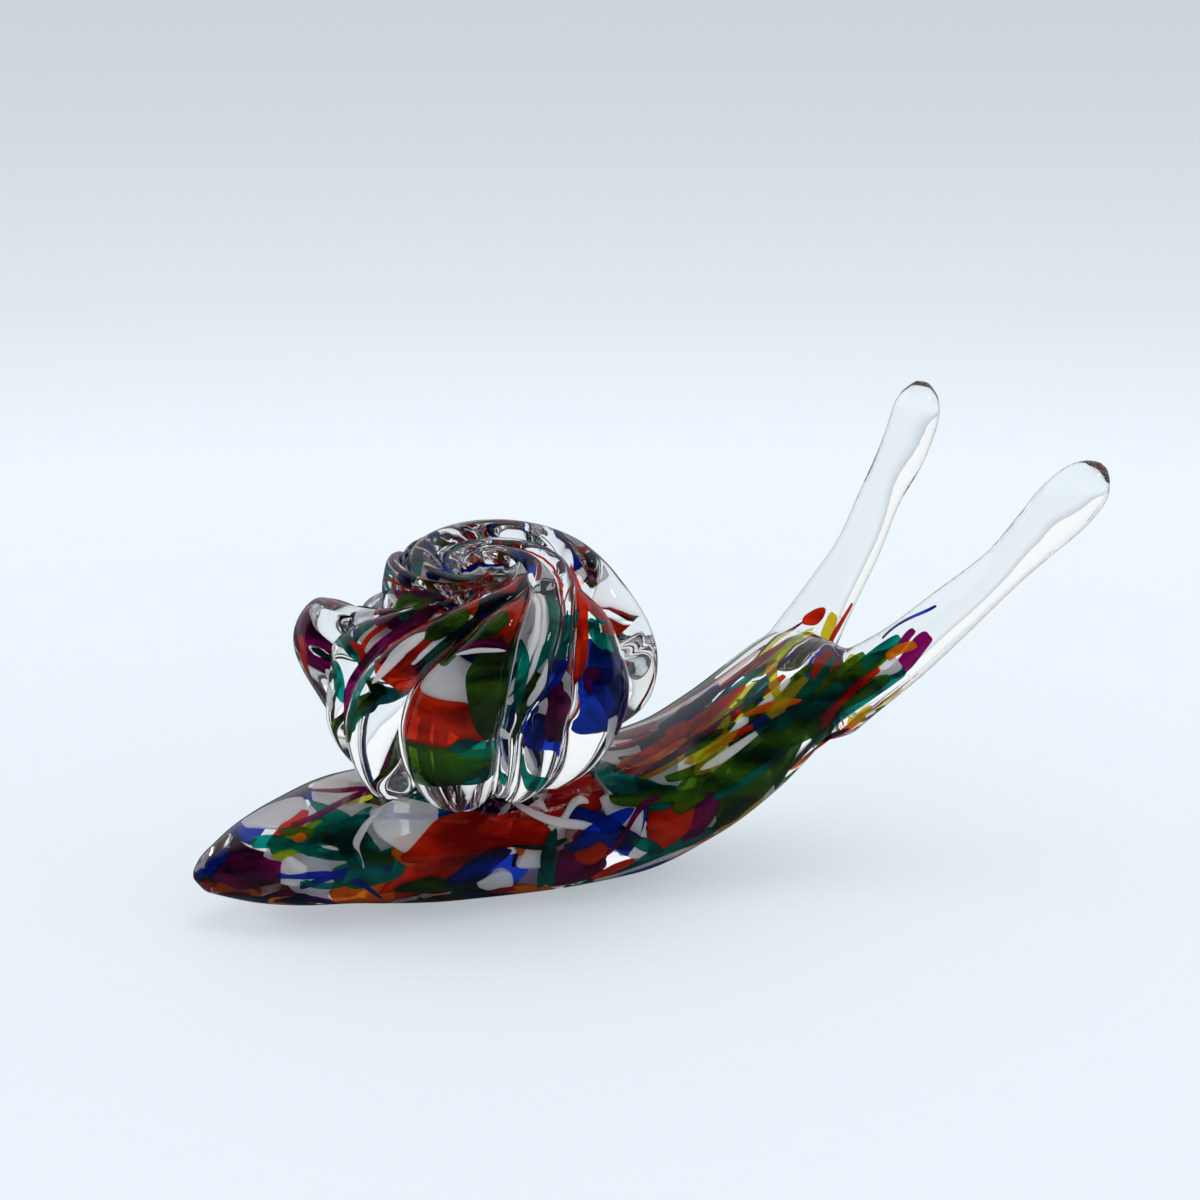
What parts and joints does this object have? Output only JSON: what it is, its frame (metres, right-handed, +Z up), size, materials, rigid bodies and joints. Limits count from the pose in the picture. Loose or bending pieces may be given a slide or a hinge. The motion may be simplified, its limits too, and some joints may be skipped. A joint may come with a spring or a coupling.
{
  "type": "glass snail figurine",
  "caption": "Solid clear-glass snail with chips of coloured glass inside, a ribbed spiral shell on its back and tentacles with rounded tips.",
  "frame": {"origin": "centre of the small flat on the belly, on which the snail rests", "axes": "+X from tail to head, +Y to the snail's left, +Z up"},
  "size_m": [0.153, 0.0558, 0.0767],
  "materials": {
    "clear_glass": "clear polished glass",
    "red_glass": "red glass chip sealed in clear glass",
    "orange_glass": "orange glass chip sealed in clear glass",
    "teal_glass": "teal glass chip sealed in clear glass",
    "green_glass": "green glass chip sealed in clear glass",
    "blue_glass": "blue glass chip sealed in clear glass",
    "purple_glass": "purple glass chip sealed in clear glass",
    "yellow_glass": "yellow glass chip sealed in clear glass",
    "white_glass": "white glass chip sealed in clear glass"
  },
  "bodies": {
    "root": {"body_casing": "clear_glass", "body_core": "clear_glass", "shell_casing": "clear_glass", "shell_core": "clear_glass", "right_tentacle": "clear_glass", "left_tentacle": "clear_glass", "body_red_chips": "red_glass", "body_orange_chips": "orange_glass", "body_teal_chips": "teal_glass", "body_green_chips": "green_glass", "body_blue_chips": "blue_glass", "body_purple_chips": "purple_glass", "body_yellow_chips": "yellow_glass", "body_white_chips": "white_glass", "shell_red_chips": "red_glass", "shell_green_chips": "green_glass", "shell_teal_chips": "teal_glass", "shell_blue_chips": "blue_glass", "shell_purple_chips": "purple_glass", "shell_white_chips": "white_glass"}
  },
  "joints": []
}
